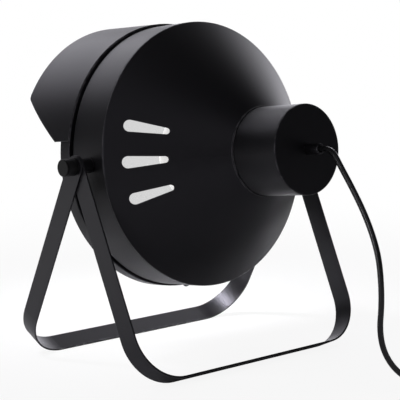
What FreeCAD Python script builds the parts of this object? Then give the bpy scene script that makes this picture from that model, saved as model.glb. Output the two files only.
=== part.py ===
import FreeCAD, Part
import math
import os

# Tabletop searchlight lamp: a tilting drum head with a hood, on two folding frames of bent flat bar.
# Millimetres. X runs along the tilt axis, -Y is where the light goes, Z is up, the table is at Z = 0.
# The origin is the middle of the lamp's footprint box, without its cord.
#
# The head is drawn in its own frame first: the head's axis is Y, its rear is +Y, and Y = 0 is the
# plane of the rim, where the drum band ends and the rear cone starts. head() puts it on the frames.

V = FreeCAD.Vector
X_AXIS = V(1, 0, 0)
Y_AXIS = V(0, 1, 0)
Z_AXIS = V(0, 0, 1)
ORIGIN = V(0, 0, 0)
RIGHT = 1
LEFT = -1

# Sheet metal of the head
SHEET = 1.0
RIM_R = 150.0
RIM_ROUND = 2.0
RIM_SKIRT = 8.0
BAND_FRONT = -52.0
NECK_R = 49.4
NECK_END = 95.8
CONE_END = 93.8
CAN_R = 48.4
CAN_FRONT = 90.0
CAN_REAR = 157.0
CAP_FACE = 158.0
CAP_SKIRT = 8.0

# Teardrop slots of the cone, three on each side, measured down the slope from the rim
SLOT_ANGLES = (-17.4, 0.3, 17.6)
SLOT_BIG_AT = 26.6
SLOT_BIG_R = 6.5
SLOT_SMALL_AT = 66.4
SLOT_SMALL_R = 3.5

# Front ring, its glass and the collar that slides into the drum
RING_R = 152.0
RING_REAR = -57.0
RING_FRONT = -73.5
RING_LIP_R = 143.0
COLLAR_R = 148.9
COLLAR_REAR = -22.0
COLLAR_NECK_R = 145.0
COLLAR_NECK_END = -62.0
COLLAR_NOTCH_W = 28.0
GLASS_R = 148.0
GLASS_REAR = -66.1
GLASS_FRONT = -68.9
GASKET_LIP_R = 143.5
LOCK_SCREW_AT = -38.5
LOCK_SCREW_TURN = 5.3
LOCK_SCREW_R = 2.0
LOCK_HOLE_R = 2.1

# Hood
HOOD_REAR = -57.5
HOOD_FRONT = -146.0
HOOD_REAR_R = 153.02
HOOD_FRONT_R = 155.8
HOOD_LOW_Z = 27.3
HOOD_STEP = -82.0
HOOD_FRONT_Z = 78.6
HOOD_CORNER_R = 9.0

# Tilt axis
TILT = 6.2
PIVOT_Z = 229.6
PIVOT_BACK = -24.4
STUD_R = 4.0
RUNNING = 0.05
SNUG = 0.02
SADDLE_R = 12.0
SPACER_R = 8.1
SPACER_END = 165.0
WASHER_T = 0.6
PLATE_GAP = 0.15
KNOB_R = 9.4
KNOB_END = 186.0

# Frames of bent flat bar
BAR_W = 24.5
BAR_T = 2.0
BEND_R = 51.0
FLAT_BELOW_EYE = 18.0
FRONT_LEAN = 27.3
REAR_LEAN = 24.6
TAPER = 3.0

# Cord
CORD_R = 3.1
GLAND_R = 5.8
GLAND_END = 177.2
SLEEVE_R = 4.4

# Where the head sits: the footprint box runs from the hood's top front edge to the gland's end
TILT_COS = math.cos(math.radians(TILT))
TILT_SIN = math.sin(math.radians(TILT))
FRONT_REACH = (HOOD_FRONT - PIVOT_BACK) * TILT_COS - HOOD_FRONT_R * TILT_SIN
REAR_REACH = (GLAND_END - PIVOT_BACK) * TILT_COS + GLAND_R * TILT_SIN
PIVOT_Y = -(FRONT_REACH + REAR_REACH) / 2

# Flat bar plates beside the spacer: the rear frame inside, the front frame outside
REAR_PLATE_OUT = SPACER_END + WASHER_T + PLATE_GAP + BAR_T
FRONT_PLATE_OUT = REAR_PLATE_OUT + PLATE_GAP + BAR_T
KNOB_WASHER_IN = FRONT_PLATE_OUT + PLATE_GAP
KNOB_WASHER_T = 1.0
KNOB_IN = KNOB_WASHER_IN + KNOB_WASHER_T

os.makedirs("parts", exist_ok=True)
made = {}


def save(name, shape):
    """Writes one piece and keeps it for the checks at the end."""
    if not shape.isValid():
        raise RuntimeError(name + " is not a valid shape")
    shape.exportStep("parts/" + name + ".step")
    made[name] = shape


def group(shapes):
    return Part.makeCompound(list(shapes))


# Drawing helpers


def wire_of(start, steps):
    """A closed outline in (radius, along). A pair ends a line, and a pair of pairs an arc."""
    at = V(start[0], start[1], 0)
    first = at
    edges = []
    for step in steps:
        if isinstance(step[0], tuple):
            middle = V(step[0][0], step[0][1], 0)
            end = V(step[1][0], step[1][1], 0)
            edges.append(Part.Arc(at, middle, end).toShape())
        else:
            end = V(step[0], step[1], 0)
            edges.append(Part.LineSegment(at, end).toShape())
        at = end
    if at.distanceToPoint(first) > 1e-6:
        edges.append(Part.LineSegment(at, first).toShape())
    return Part.Wire(edges)


def turned(start, *steps):
    """A solid turned round the Y axis from its half section."""
    return Part.Face(wire_of(start, steps)).revolve(ORIGIN, Y_AXIS, 360)


def tube(outer, inner, low, high):
    return turned((inner, low), (outer, low), (outer, high), (inner, high))


def rod(radius, start, direction, length):
    return Part.makeCylinder(radius, length, start, direction)


def hexagon(across_flats, start, direction, length):
    """A six-sided prism whose axis starts at start."""
    radius = across_flats / math.sqrt(3)
    corners = [
        V(radius * math.cos(math.radians(a)), radius * math.sin(math.radians(a)), 0)
        for a in range(0, 361, 60)
    ]
    prism = Part.Face(Part.makePolygon(corners)).extrude(V(0, 0, length))
    prism.Placement = FreeCAD.Placement(start, FreeCAD.Rotation(Z_AXIS, direction))
    return prism


def head(shape):
    """Moves a piece from the head's own frame to its place on the frames."""
    moved = shape.copy()
    moved.translate(V(0, -PIVOT_BACK, 0))
    moved.rotate(ORIGIN, X_AXIS, TILT)
    moved.translate(V(0, PIVOT_Y, PIVOT_Z))
    return moved


def at_lock_screw(shape):
    """Turns a piece drawn straight below the head's axis to the lock screw's place."""
    shape.rotate(ORIGIN, Y_AXIS, -LOCK_SCREW_TURN)
    return shape


def lock_screw_hole():
    """Cutter for the screw's clearance hole, through the band and the collar alike."""
    return at_lock_screw(rod(LOCK_HOLE_R, V(0, LOCK_SCREW_AT, -RIM_R - 5), Z_AXIS, 20))


def head_point(x, y, z):
    """Where a point of the head's own frame is on the standing lamp."""
    along = y - PIVOT_BACK
    back = along * TILT_COS - z * TILT_SIN
    up = along * TILT_SIN + z * TILT_COS
    return V(x, PIVOT_Y + back, PIVOT_Z + up)


# Drum band, cone and can


def slope():
    """Unit direction down the cone's outer line, from the rim to the neck, as (radius, along)."""
    run = NECK_R - RIM_R
    rise = CONE_END
    length = math.hypot(run, rise)
    return run / length, rise / length


def rim_turn():
    """Angle between the band's direction and the slope's."""
    down_r, down_y = slope()
    return math.atan2(-down_r, down_y)


def rim_reach():
    """How far the rim's round reaches along the band and along the slope."""
    return RIM_ROUND * math.tan(rim_turn() / 2)


def drum_band():
    band = tube(RIM_R, RIM_R - SHEET, BAND_FRONT, -rim_reach())
    reach = RIM_R + 10
    pivots = rod(STUD_R + 0.1, V(-reach, PIVOT_BACK, 0), X_AXIS, 2 * reach)
    return band.cut(pivots).cut(lock_screw_hole())


def slot_cutter(angle):
    """A teardrop prism that cuts one slot through the cone, square to its slope."""
    down_r, down_y = slope()
    radial = V(math.cos(math.radians(angle)), 0, math.sin(math.radians(angle)))
    down = radial * down_r + Y_AXIS * down_y
    out = radial * down_y - Y_AXIS * down_r
    side = out.cross(down)
    rim_point = radial * RIM_R
    big = rim_point + down * SLOT_BIG_AT - out * 10
    small = rim_point + down * SLOT_SMALL_AT - out * 10
    lean = math.asin((SLOT_BIG_R - SLOT_SMALL_R) / (SLOT_SMALL_AT - SLOT_BIG_AT))

    def on(centre, radius, turn):
        return centre + down * (radius * math.sin(turn)) + side * (radius * math.cos(turn))

    upper_big = on(big, SLOT_BIG_R, lean)
    upper_small = on(small, SLOT_SMALL_R, lean)
    lower_small = on(small, SLOT_SMALL_R, math.pi - lean)
    lower_big = on(big, SLOT_BIG_R, math.pi - lean)
    outline = Part.Wire(
        [
            Part.LineSegment(upper_big, upper_small).toShape(),
            Part.Arc(upper_small, small + down * SLOT_SMALL_R, lower_small).toShape(),
            Part.LineSegment(lower_small, lower_big).toShape(),
            Part.Arc(lower_big, big - down * SLOT_BIG_R, upper_big).toShape(),
        ]
    )
    return Part.Face(outline).extrude(out * 20)


def rear_cone():
    down_r, down_y = slope()
    # the rounded rim: an arc from the band's direction to the slope's
    turn = rim_turn()
    reach = rim_reach()
    centre = (RIM_R - RIM_ROUND, -reach)
    middle = (
        centre[0] + RIM_ROUND * math.cos(turn / 2),
        centre[1] + RIM_ROUND * math.sin(turn / 2),
    )
    end = (RIM_R + reach * down_r, reach * down_y)
    # the inner line runs one sheet inside the outer one
    inner_r = RIM_R - SHEET * down_y
    inner_y = SHEET * down_r

    def inner_at(radius):
        return (radius, inner_y + (radius - inner_r) / down_r * down_y)

    skirt_out = RIM_R - SHEET
    skirt_in = skirt_out - SHEET
    neck_in = CAN_R + RUNNING
    cone = turned(
        (skirt_in, -RIM_SKIRT),
        (skirt_out, -RIM_SKIRT),
        (skirt_out, -reach),
        (RIM_R, -reach),
        (middle, end),
        (NECK_R, CONE_END),
        (NECK_R, NECK_END),
        (neck_in, NECK_END),
        inner_at(neck_in),
        inner_at(skirt_in),
    )
    for angle in SLOT_ANGLES:
        for around in (angle, 180 - angle):
            cone = cone.cut(slot_cutter(around))
    return cone


def holder_can():
    return tube(CAN_R, CAN_R - SHEET, CAN_FRONT, CAN_REAR)


def rear_cap():
    hole = NIPPLE_R + 0.1
    edge = 0.8
    bow = edge * (1 - math.sqrt(0.5))
    skirt_r = CAN_R - SHEET - RUNNING
    flange = CAN_REAR + RUNNING
    return turned(
        (hole, flange),
        (hole, CAP_FACE),
        (CAN_R - edge, CAP_FACE),
        ((CAN_R - bow, CAP_FACE - bow), (CAN_R, CAP_FACE - edge)),
        (CAN_R, flange),
        (skirt_r, flange),
        (skirt_r, CAN_REAR - CAP_SKIRT),
        (skirt_r - SHEET, CAN_REAR - CAP_SKIRT),
        (skirt_r - SHEET, flange),
    )


# Cord entry at the rear cap

NIPPLE_R = 5.0
NIPPLE_FRONT = 140.0
NIPPLE_REAR = 168.0


def threaded_nipple():
    return tube(NIPPLE_R, 3.6, NIPPLE_FRONT, NIPPLE_REAR)


def nipple_washer():
    return tube(8.0, NIPPLE_R + RUNNING, CAN_REAR - 0.8, CAN_REAR)


def nipple_nut():
    nut = hexagon(14.0, V(0, CAN_REAR - 4.0, 0), Y_AXIS, 3.1)
    return nut.cut(rod(NIPPLE_R + RUNNING, V(0, CAN_REAR - 6, 0), Y_AXIS, 10))


def cord_gland():
    chamfer = 0.7
    lip = GLAND_END - 1.2
    return turned(
        (NIPPLE_R + RUNNING, CAP_FACE),
        (GLAND_R, CAP_FACE),
        (GLAND_R, GLAND_END - chamfer),
        (GLAND_R - chamfer, GLAND_END),
        (CORD_R + 0.4, GLAND_END),
        (CORD_R + 0.4, lip),
        (SLEEVE_R + RUNNING, lip),
        (SLEEVE_R + RUNNING, NIPPLE_REAR + 0.3),
        (NIPPLE_R + RUNNING, NIPPLE_REAR + 0.3),
    )


def cord_sleeve():
    """A rubber sleeve that the gland squeezes round the cord."""
    return tube(SLEEVE_R, CORD_R, NIPPLE_REAR + 0.1, GLAND_END - 1.3)


def cord_inlet():
    return rod(CORD_R, V(0, 137.0, 0), Y_AXIS, GLAND_END - 137.0)


# Screw lampholder inside the can

HOLDER_R = 20.0
HOLDER_WALL = 1.6
HOLDER_REAR = 146.0
HOLDER_TOP_R = 10.0
HOLDER_SPLIT = 127.0
HOLDER_FRONT = 94.0
HOLDER_MOUTH_R = 15.4
INSERT_FRONT = 121.0
INSERT_REAR = 129.0
TERMINAL_X = 9.0


def holder_dome():
    bore = NIPPLE_R + RUNNING
    inside = HOLDER_REAR - HOLDER_WALL
    shoulder = 135.0
    return turned(
        (bore, HOLDER_REAR),
        (HOLDER_TOP_R, HOLDER_REAR),
        ((17.4, 142.6), (HOLDER_R, shoulder)),
        (HOLDER_R, HOLDER_SPLIT),
        (HOLDER_R - HOLDER_WALL, HOLDER_SPLIT),
        (HOLDER_R - HOLDER_WALL, shoulder),
        ((16.1, 141.2), (HOLDER_TOP_R, inside)),
        (bore, inside),
    )


def holder_skirt():
    rear = HOLDER_SPLIT - RUNNING
    return turned(
        (16.6, rear),
        (HOLDER_R, rear),
        (HOLDER_R, 104.0),
        (HOLDER_R - 0.8, 103.2),
        (HOLDER_R - 0.8, HOLDER_FRONT + 1.0),
        (HOLDER_R - 1.8, HOLDER_FRONT),
        (HOLDER_MOUTH_R, HOLDER_FRONT),
        (HOLDER_MOUTH_R, 98.0),
        (16.6, 99.0),
    )


def holder_insert():
    radius = 16.5
    block = turned((0, INSERT_FRONT), (radius, INSERT_FRONT), (radius, INSERT_REAR), (0, INSERT_REAR))
    for side in (RIGHT, LEFT):
        block = block.cut(rod(1.3, V(side * TERMINAL_X, 124.0, 0), Y_AXIS, 10))
    return block.cut(rod(1.3, V(0, 100.0, 8.0), Y_AXIS, 40))


def thread_sleeve():
    return tube(14.4, 14.0, 99.5, INSERT_FRONT)


def centre_contact():
    strip = Part.makeBox(4.0, 0.5, 9.0, V(-2.0, INSERT_FRONT - 0.5, -4.5))
    bump = rod(1.5, V(0, INSERT_FRONT - 1.2, 0), Y_AXIS, 0.7)
    return strip.fuse(bump).removeSplitter()


def terminal_screws():
    screws = []
    for side in (RIGHT, LEFT):
        shank = rod(1.25, V(side * TERMINAL_X, 125.0, 0), Y_AXIS, 4.1)
        top = rod(2.4, V(side * TERMINAL_X, INSERT_REAR + 0.1, 0), Y_AXIS, 1.8)
        screws.append(shank.fuse(top).removeSplitter())
    return group(screws)


def inner_leads():
    leads = []
    for side in (RIGHT, LEFT):
        start = V(side * 1.4, 136.3, 0)
        end = V(side * TERMINAL_X, 132.2, 0)
        leads.append(rod(0.9, start, end - start, (end - start).Length))
    return group(leads)


# Screw bulb with a large opal globe

GLOBE_R = 62.5
GLOBE_AT = 12.0
GLOBE_WALL = 1.0
BULB_NECK_R = 15.2
BULB_NECK_END = 93.0


def bulb_globe():
    """The globe's section: most of a circle, a hollow curve into the neck, and the neck."""
    leave = math.radians(66)
    sweep = math.radians(-12)

    def half(radius, neck):
        tip = (0, GLOBE_AT - radius)
        belly = (radius * math.cos(sweep), GLOBE_AT + radius * math.sin(sweep))
        shoulder = (radius * math.cos(leave), GLOBE_AT + radius * math.sin(leave))
        bend_y = shoulder[1] + 13.0
        bend = (neck + (shoulder[0] - neck) * 0.32, shoulder[1] + 5.2)
        return tip, belly, shoulder, bend, (neck, bend_y)

    tip, belly, shoulder, bend, neck = half(GLOBE_R, BULB_NECK_R)
    tip_in, belly_in, shoulder_in, bend_in, neck_in = half(
        GLOBE_R - GLOBE_WALL, BULB_NECK_R - GLOBE_WALL
    )
    return turned(
        tip,
        (belly, shoulder),
        (bend, neck),
        (12.4, BULB_NECK_END),
        (12.4 - GLOBE_WALL, BULB_NECK_END),
        neck_in,
        (bend_in, shoulder_in),
        (belly_in, tip_in),
    )


def bulb_cap():
    """The threaded metal cap, its thread drawn as rings of the thread's pitch."""
    crest = 13.2
    root = 12.5
    pitch = 3.6
    start = 97.0
    steps = [(crest, BULB_NECK_END + 0.1), (crest, start)]
    for turn in range(5):
        at = start + turn * pitch
        steps.append(((root, at + pitch / 2), (crest, at + pitch)))
    steps += [(9.0, 117.0), (8.2, 117.0), (crest - 1.3, 114.0), (crest - 1.3, BULB_NECK_END + 0.1)]
    return turned((crest - 1.3, BULB_NECK_END + 0.1), *steps)


def bulb_insulator():
    return turned((4.6, 117.05), (8.9, 117.05), (5.2, 119.0), (4.6, 119.0))


def bulb_contact():
    return turned((0, 117.1), (4.5, 117.1), (4.5, 118.9), (3.4, 119.6), (0, 119.6))


# Front ring with its collar, glass and gasket


def front_ring():
    lip = RING_FRONT + SHEET
    flange = RING_REAR - SHEET
    inner = RING_R - SHEET
    edge = 0.5
    return turned(
        (COLLAR_NECK_R + RUNNING, RING_REAR),
        (RING_R - edge, RING_REAR),
        (RING_R, RING_REAR - edge),
        (RING_R, RING_FRONT + edge),
        (RING_R - edge, RING_FRONT),
        (RING_LIP_R, RING_FRONT),
        (RING_LIP_R, lip),
        (inner, lip),
        (inner, flange),
        (COLLAR_NECK_R + RUNNING, flange),
    )


def ring_collar():
    step = BAND_FRONT + 0.5
    collar = turned(
        (COLLAR_R - SHEET, COLLAR_REAR),
        (COLLAR_R, COLLAR_REAR),
        (COLLAR_R, step),
        (COLLAR_NECK_R, step),
        (COLLAR_NECK_R, COLLAR_NECK_END),
        (COLLAR_NECK_R - SHEET, COLLAR_NECK_END),
        (COLLAR_NECK_R - SHEET, step + SHEET),
        (COLLAR_R - SHEET, step + SHEET),
    )
    # open notches at its rear edge leave room for the saddles of the tilt axis
    for side in (RIGHT, LEFT):
        low = V(side * RIM_R - 10, PIVOT_BACK - SADDLE_R, -COLLAR_NOTCH_W / 2)
        collar = collar.cut(Part.makeBox(20, 30, COLLAR_NOTCH_W, low))
    return collar.cut(lock_screw_hole())


def glass_gasket():
    rear = COLLAR_NECK_END - RUNNING
    front = RING_FRONT + SHEET + RUNNING
    outer = RING_R - SHEET - RUNNING
    seat = GLASS_R + RUNNING
    return turned(
        (GASKET_LIP_R, rear),
        (outer, rear),
        (outer, front),
        (GASKET_LIP_R, front),
        (GASKET_LIP_R, GLASS_FRONT - RUNNING),
        (seat, GLASS_FRONT - RUNNING),
        (seat, GLASS_REAR + RUNNING),
        (GASKET_LIP_R, GLASS_REAR + RUNNING),
    )


def front_glass():
    return turned((0, GLASS_FRONT), (GLASS_R, GLASS_FRONT), (GLASS_R, GLASS_REAR), (0, GLASS_REAR))


def ring_lock_screw():
    """A round-head screw from below, through the band into the collar."""
    height = 2.4
    radius = 3.6
    ball = (radius * radius + height * height) / (2 * height)
    top = Part.makeSphere(ball, V(0, LOCK_SCREW_AT, -RIM_R - height + ball))
    slab = Part.makeBox(20, 20, height, V(-10, LOCK_SCREW_AT - 10, -RIM_R - height))
    slot = Part.makeBox(0.9, 12, 1.0, V(-0.45, LOCK_SCREW_AT - 6, -RIM_R - height))
    shank = rod(LOCK_SCREW_R, V(0, LOCK_SCREW_AT, -RIM_R), Z_AXIS, 8.5)
    return at_lock_screw(top.common(slab).cut(slot).fuse(shank).removeSplitter())


def ring_lock_nut():
    nut = hexagon(7.0, V(0, LOCK_SCREW_AT, -COLLAR_R + SHEET + 0.15), Z_AXIS, 3.0)
    bore = rod(LOCK_SCREW_R + RUNNING, V(0, LOCK_SCREW_AT, -RIM_R), Z_AXIS, 20)
    return at_lock_screw(nut.cut(bore))


# Hood over the upper half of the ring


def hood():
    shell = turned(
        (HOOD_REAR_R - SHEET, HOOD_REAR),
        (HOOD_REAR_R, HOOD_REAR),
        (HOOD_FRONT_R, HOOD_FRONT),
        (HOOD_FRONT_R - SHEET, HOOD_FRONT),
    )
    reach = HOOD_FRONT_R + 10
    step = V(-reach, HOOD_STEP, HOOD_LOW_Z)
    corner = V(-reach, HOOD_FRONT, HOOD_FRONT_Z)
    cut_dir = (corner - step).normalize()
    turn = math.acos(cut_dir.z)
    tangent = HOOD_CORNER_R * math.tan(turn / 2)
    before = corner - cut_dir * tangent
    after = corner + Z_AXIS * tangent
    centre = after + Y_AXIS * HOOD_CORNER_R
    bow = centre + (corner - centre).normalize() * HOOD_CORNER_R
    back = V(-reach, HOOD_REAR + 5, HOOD_LOW_Z)
    top_back = V(-reach, HOOD_REAR + 5, reach)
    top_front = V(-reach, HOOD_FRONT - 5, reach)
    side_front = V(-reach, HOOD_FRONT - 5, after.z)
    edge_front = V(-reach, HOOD_FRONT, after.z)
    edges = [Part.Arc(before, bow, edge_front).toShape()]
    around = [edge_front, side_front, top_front, top_back, back, step, before]
    for start, end in zip(around, around[1:]):
        edges.append(Part.LineSegment(start, end).toShape())
    return shell.common(Part.Face(Part.Wire(edges)).extrude(V(2 * reach, 0, 0)))


# Tilt axis: studs fixed in the drum, spacers, washers and the clamp knobs


SADDLE_IN = 144.5
NUT_IN = 138.0
STUD_IN = 136.5
STUD_END = 182.0
WASHER_R = 9.5
KNOB_WASHER_R = 8.6


def on_axis(x):
    return V(x, PIVOT_BACK, 0)


def stud_bore(side):
    """Cutter along the tilt axis for the pieces that sit on a stud."""
    return rod(STUD_R + RUNNING, on_axis(side * 130), X_AXIS * side, 60)


def drum_solid(radius):
    return rod(radius, V(0, BAND_FRONT - 40, 0), Y_AXIS, 140)


def pivot_saddle(side):
    block = rod(SADDLE_R, on_axis(side * SADDLE_IN), X_AXIS * side, 6.0)
    block = block.common(drum_solid(RIM_R - SHEET - SNUG))
    return block.cut(stud_bore(side))


def pivot_nut(side):
    nut = hexagon(13.0, on_axis(side * NUT_IN), X_AXIS * side, 6.4)
    return nut.cut(stud_bore(side))


def pivot_stud(side):
    return rod(STUD_R, on_axis(side * STUD_IN), X_AXIS * side, STUD_END - STUD_IN)


def pivot_spacer(side):
    body = rod(SPACER_R, on_axis(side * SADDLE_IN), X_AXIS * side, SPACER_END - SADDLE_IN)
    body = body.cut(drum_solid(RIM_R + SNUG))
    return body.cut(stud_bore(side))


def friction_washer(side):
    disc = rod(WASHER_R, on_axis(side * SPACER_END), X_AXIS * side, WASHER_T)
    return disc.cut(stud_bore(side))


def turned_on_axis(side, start, *steps):
    """A solid turned round the tilt axis from (radius, distance out from the lamp's middle)."""
    solid = turned(start, *steps)
    solid.rotate(ORIGIN, Z_AXIS, -90 * side)
    solid.translate(on_axis(0))
    return solid


def knob_washer(side):
    return turned_on_axis(
        side,
        (STUD_R + RUNNING, KNOB_WASHER_IN),
        (KNOB_WASHER_R, KNOB_WASHER_IN),
        (KNOB_WASHER_R, KNOB_IN),
        (STUD_R + RUNNING, KNOB_IN),
    )


INSERT_R = 6.0
INSERT_END = 183.0


def knob(side):
    """The knob's grip, with a fine groove near its outer edge and a blind hole for its insert."""
    chamfer = 0.6
    groove = KNOB_END - 3.0
    return turned_on_axis(
        side,
        (INSERT_R, KNOB_IN),
        (KNOB_R - chamfer, KNOB_IN),
        (KNOB_R, KNOB_IN + chamfer),
        (KNOB_R, groove - 0.5),
        (KNOB_R - 0.4, groove),
        (KNOB_R, groove + 0.5),
        (KNOB_R, KNOB_END - chamfer),
        (KNOB_R - chamfer, KNOB_END),
        (0, KNOB_END),
        (0, INSERT_END),
        (INSERT_R, INSERT_END),
    )


def knob_insert(side):
    outer = INSERT_R - SNUG
    return turned_on_axis(
        side,
        (STUD_R + RUNNING, KNOB_IN + 0.1),
        (outer, KNOB_IN + 0.1),
        (outer, INSERT_END - 0.1),
        (STUD_R + RUNNING, INSERT_END - 0.1),
    )


# Two frames of flat bar, each bent to a wide U with its eyes on the tilt axis


def frame(lean, plate_out):
    """A U of flat bar that hangs from the tilt axis. lean tips it: forward is positive."""
    angle = math.radians(abs(lean))
    reach = (PIVOT_Z - BAR_W / 2 * math.sin(angle)) / math.cos(angle)
    top = -BAR_W / 2
    foot_out = plate_out - TAPER
    leg_way = V(-TAPER, 0, reach - FLAT_BELOW_EYE).normalize()
    turn = math.pi / 2 - math.atan2(leg_way.x, leg_way.z)

    def half_outline(inset):
        """One side of the U, inset from its outer face: eye, flat end, and the bend's three points."""
        x_eye = plate_out - inset
        radius = BEND_R - inset
        x_foot = foot_out - inset
        tangent = radius * math.tan(turn / 2)
        corner = V(x_foot, 0, reach - inset)
        bend_in = corner - leg_way * tangent
        bend_out = corner - X_AXIS * tangent
        centre = bend_out - Z_AXIS * radius
        bow = centre + (corner - centre).normalize() * radius
        return V(x_eye, 0, top), V(x_eye, 0, FLAT_BELOW_EYE), bend_in, bow, bend_out

    def mirrored(point):
        return V(-point.x, point.y, point.z)

    def run(points):
        eye, flat, bend_in, bow, bend_out = points
        left = [mirrored(p) for p in points]
        return [
            Part.LineSegment(eye, flat).toShape(),
            Part.LineSegment(flat, bend_in).toShape(),
            Part.Arc(bend_in, bow, bend_out).toShape(),
            Part.LineSegment(bend_out, left[4]).toShape(),
            Part.Arc(left[4], left[3], left[2]).toShape(),
            Part.LineSegment(left[2], left[1]).toShape(),
            Part.LineSegment(left[1], left[0]).toShape(),
        ]

    outer = half_outline(0)
    inner = half_outline(BAR_T)
    edges = run(outer)
    edges.append(Part.LineSegment(mirrored(outer[0]), mirrored(inner[0])).toShape())
    edges += run(inner)
    edges.append(Part.LineSegment(inner[0], outer[0]).toShape())
    strip = Part.Face(Part.Wire(Part.__sortEdges__(edges))).extrude(V(0, BAR_W, 0))
    strip.translate(V(0, -BAR_W / 2, 0))

    # round eyes, drawn along the tilt axis
    wide = plate_out + 20
    eye_round = rod(BAR_W / 2, V(-wide, 0, 0), X_AXIS, 2 * wide)
    below = Part.makeBox(2 * wide, BAR_W, reach + 10, V(-wide, -BAR_W / 2, 0))
    strip = strip.common(eye_round.fuse(below))
    strip = strip.cut(rod(STUD_R + RUNNING, V(-wide, 0, 0), X_AXIS, 2 * wide))

    # Z has pointed down the frame so far: turn it over, lean it and hang it on the axis
    strip.rotate(ORIGIN, X_AXIS, 180)
    strip.rotate(ORIGIN, X_AXIS, -lean)
    strip.translate(V(0, PIVOT_Y, PIVOT_Z))
    return strip


# Cord: a tube along straight runs joined by tangent arcs


def rounded_route(points):
    """The route's edges, its tightest radius and its length."""
    edges = []
    radii = []
    at = points[0]
    for before, corner, after in zip(points, points[1:], points[2:]):
        run_in = (corner - before).Length
        run_out = (after - corner).Length
        way_in = (corner - before).normalize()
        way_out = (after - corner).normalize()
        half_turn = way_in.getAngle(way_out) / 2
        tangent = 0.45 * min(run_in, run_out)
        radius = tangent / math.tan(half_turn)
        start = corner - way_in * tangent
        end = corner + way_out * tangent
        to_centre = (way_out - way_in).normalize()
        centre = corner + to_centre * (radius / math.cos(half_turn))
        middle = centre - to_centre * radius
        edges.append(Part.LineSegment(at, start).toShape())
        edges.append(Part.Arc(start, middle, end).toShape())
        radii.append(radius)
        at = end
    edges.append(Part.LineSegment(at, points[-1]).toShape())
    return edges, radii, sum(e.Length for e in edges)


def swept(name, edges):
    """A cord solid along joined edges, with its volume compared to section times length."""
    path = Part.Wire(edges)
    start = edges[0].valueAt(edges[0].FirstParameter)
    way = edges[0].tangentAt(edges[0].FirstParameter)
    section = Part.Wire(Part.makeCircle(CORD_R, start, way))
    solid = path.makePipeShell([section], True, False)
    ideal = math.pi * CORD_R * CORD_R * path.Length
    print(f"{name}: length {path.Length:.1f}, volume share {solid.Volume / ideal:.5f}")
    return solid


def cord_along(name, points):
    edges, radii, length = rounded_route(points)
    print(name, "radii", " ".join(f"{r:.0f}" for r in radii))
    return swept(name, edges), length


# The cord leaves the gland, bends down and hangs, and comes to the switch on the table behind the lamp
CORD_EXIT = head_point(0, GLAND_END, 0)
SWITCH_AXIS_Z = 9.5
SWITCH_Y = 262.0
SWITCH_START_X = -130.0
DROP_ROUTE = [
    CORD_EXIT,
    head_point(0, GLAND_END + 7.2, 0),
    V(0, 183.0, 250.4),
    V(0, 188.8, 246.4),
    V(0, 197.0, 235.0),
    V(0, 211.4, 216.6),
    V(0, 228.4, 192.5),
    V(0, 241.4, 168.7),
    V(0, 249.8, 146.2),
    V(0, 253.3, 121.2),
    V(0, 254.2, 97.0),
    V(-1, 251.2, 73.0),
    V(-8, 249.8, 50.0),
    V(-22, 251.0, 29.5),
    V(-41, 254.0, 14.0),
    V(-62, 257.2, 5.2),
    V(-83, 260.3, 2.9),
    V(-103, 262.0, 6.4),
    V(SWITCH_START_X + 12, SWITCH_Y, SWITCH_AXIS_Z),
    V(SWITCH_START_X, SWITCH_Y, SWITCH_AXIS_Z),
]

# Switch on the cord, its length along X
SWITCH_SLEEVE = 9.0
SWITCH_BODY = 58.0
SWITCH_W = 26.0
SWITCH_H = 19.0
SWITCH_WALL = 1.6
SWITCH_END_X = SWITCH_START_X - 2 * SWITCH_SLEEVE - SWITCH_BODY
SWITCH_MID_X = (SWITCH_START_X + SWITCH_END_X) / 2

# Coil of the spare length: it spirals in on the lower layer, climbs, and spirals out on the upper one
COIL_X = -232.0
COIL_Y = 200.0
COIL_OUT_R = 45.0
COIL_TURNS_IN = 2.25
COIL_CLIMB = 0.5
TURN_PITCH = 6.8
TIE_T = 0.9
TIE_GAP = 0.3
LAYER_1 = TIE_T + TIE_GAP + CORD_R
LAYER_2 = LAYER_1 + TURN_PITCH
COIL_LEAD = 2 * CORD_R

COIL_ENTRY = V(COIL_X - COIL_OUT_R, COIL_Y + COIL_LEAD, LAYER_1)
COIL_EXIT = V(COIL_X - COIL_OUT_R, COIL_Y - COIL_LEAD, LAYER_2)
LINK_ROUTE = [
    V(SWITCH_END_X, SWITCH_Y, SWITCH_AXIS_Z),
    V(SWITCH_END_X - 17, SWITCH_Y, SWITCH_AXIS_Z),
    V(SWITCH_END_X - 40, SWITCH_Y - 4, 7.2),
    V(SWITCH_END_X - 59, SWITCH_Y - 17, 5.2),
    V(COIL_ENTRY.x, COIL_ENTRY.y + 20, LAYER_1),
    COIL_ENTRY,
]
PLUG_AXIS_Z = 7.0
PLUG_Y = COIL_EXIT.y - 50
PLUG_X = COIL_EXIT.x - 3
TAIL_ROUTE = [
    COIL_EXIT,
    V(COIL_EXIT.x, COIL_EXIT.y - 15, LAYER_2),
    V(PLUG_X, COIL_EXIT.y - 35, PLUG_AXIS_Z),
    V(PLUG_X, PLUG_Y, PLUG_AXIS_Z),
]


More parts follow.
